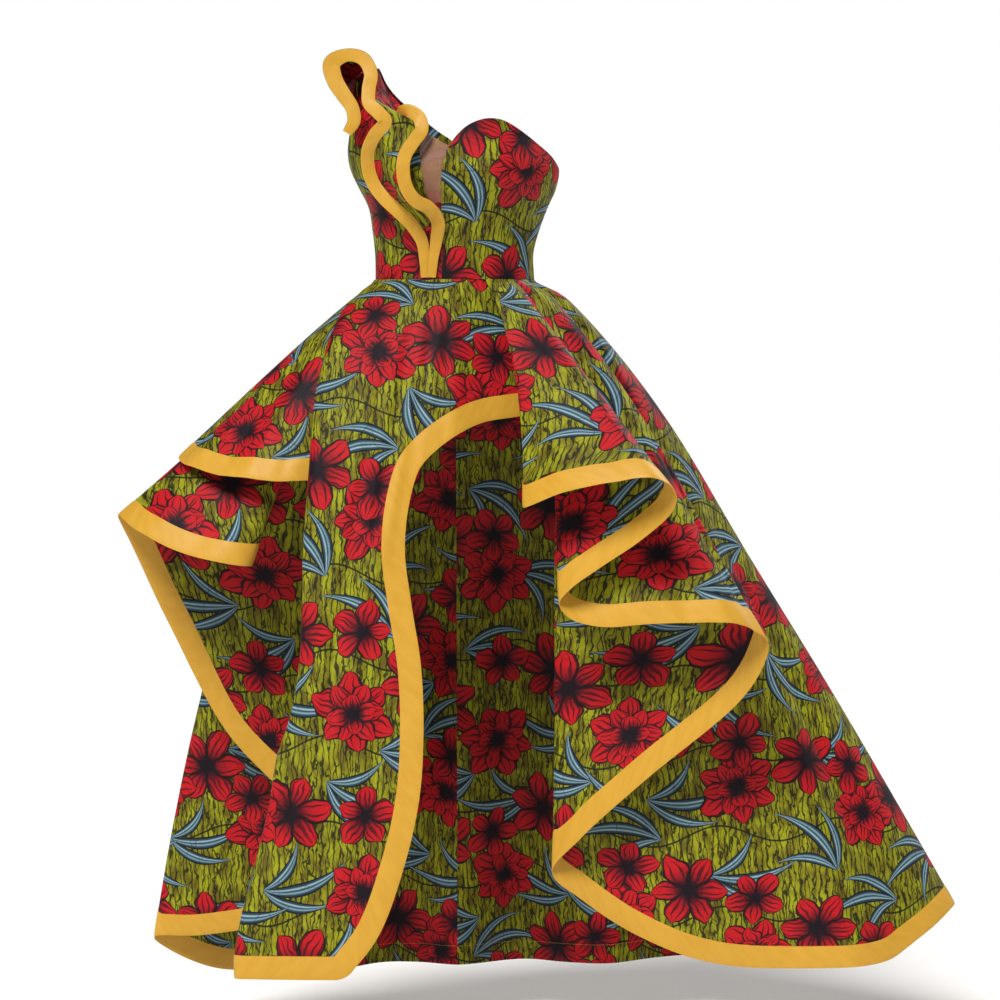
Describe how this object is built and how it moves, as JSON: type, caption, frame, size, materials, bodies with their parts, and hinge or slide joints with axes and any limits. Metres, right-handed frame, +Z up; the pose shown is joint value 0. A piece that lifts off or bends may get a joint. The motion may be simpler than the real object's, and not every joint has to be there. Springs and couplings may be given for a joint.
{
  "type": "ankara wax print dress",
  "caption": "Floor-length one-shoulder gown of printed cotton with a slit, a draped overskirt, a hip flounce and a rippled neckline ruffle, all edged in bias binding.",
  "frame": {"origin": "middle of the waist, where the wearer holds the dress up", "axes": "+Z up the wearer's body, -Y out of the front of the dress, +X to the wearer's left"},
  "size_m": [1.4035, 0.7951, 1.5707],
  "materials": {
    "printed_cotton": "plain-weave cotton with a wax-resist print, lightly calendered",
    "bias_binding": "plain yellow cotton-satin bias binding, soft sheen",
    "stretch_mesh": "fine sheer stretch mesh, matt"
  },
  "bodies": {
    "root": {"bodice_front_r": "printed_cotton", "bodice_back_r": "printed_cotton", "bodice_front_l": "printed_cotton", "bodice_back_l": "printed_cotton", "neckline_ruffle": "printed_cotton", "front_panel": "printed_cotton", "hip_flounce": "printed_cotton", "overskirt_front_l": "printed_cotton", "overskirt_back_l": "printed_cotton", "overskirt_back_r": "printed_cotton", "overskirt_front_r": "printed_cotton", "ruffle_binding_outer": "bias_binding", "ruffle_binding_inner": "bias_binding", "front_panel_binding": "bias_binding", "hip_flounce_binding": "bias_binding", "overskirt_front_l_binding": "bias_binding", "overskirt_back_l_binding": "bias_binding", "overskirt_back_r_binding": "bias_binding", "overskirt_front_r_binding": "bias_binding", "plunge_mesh": "stretch_mesh"}
  },
  "joints": []
}
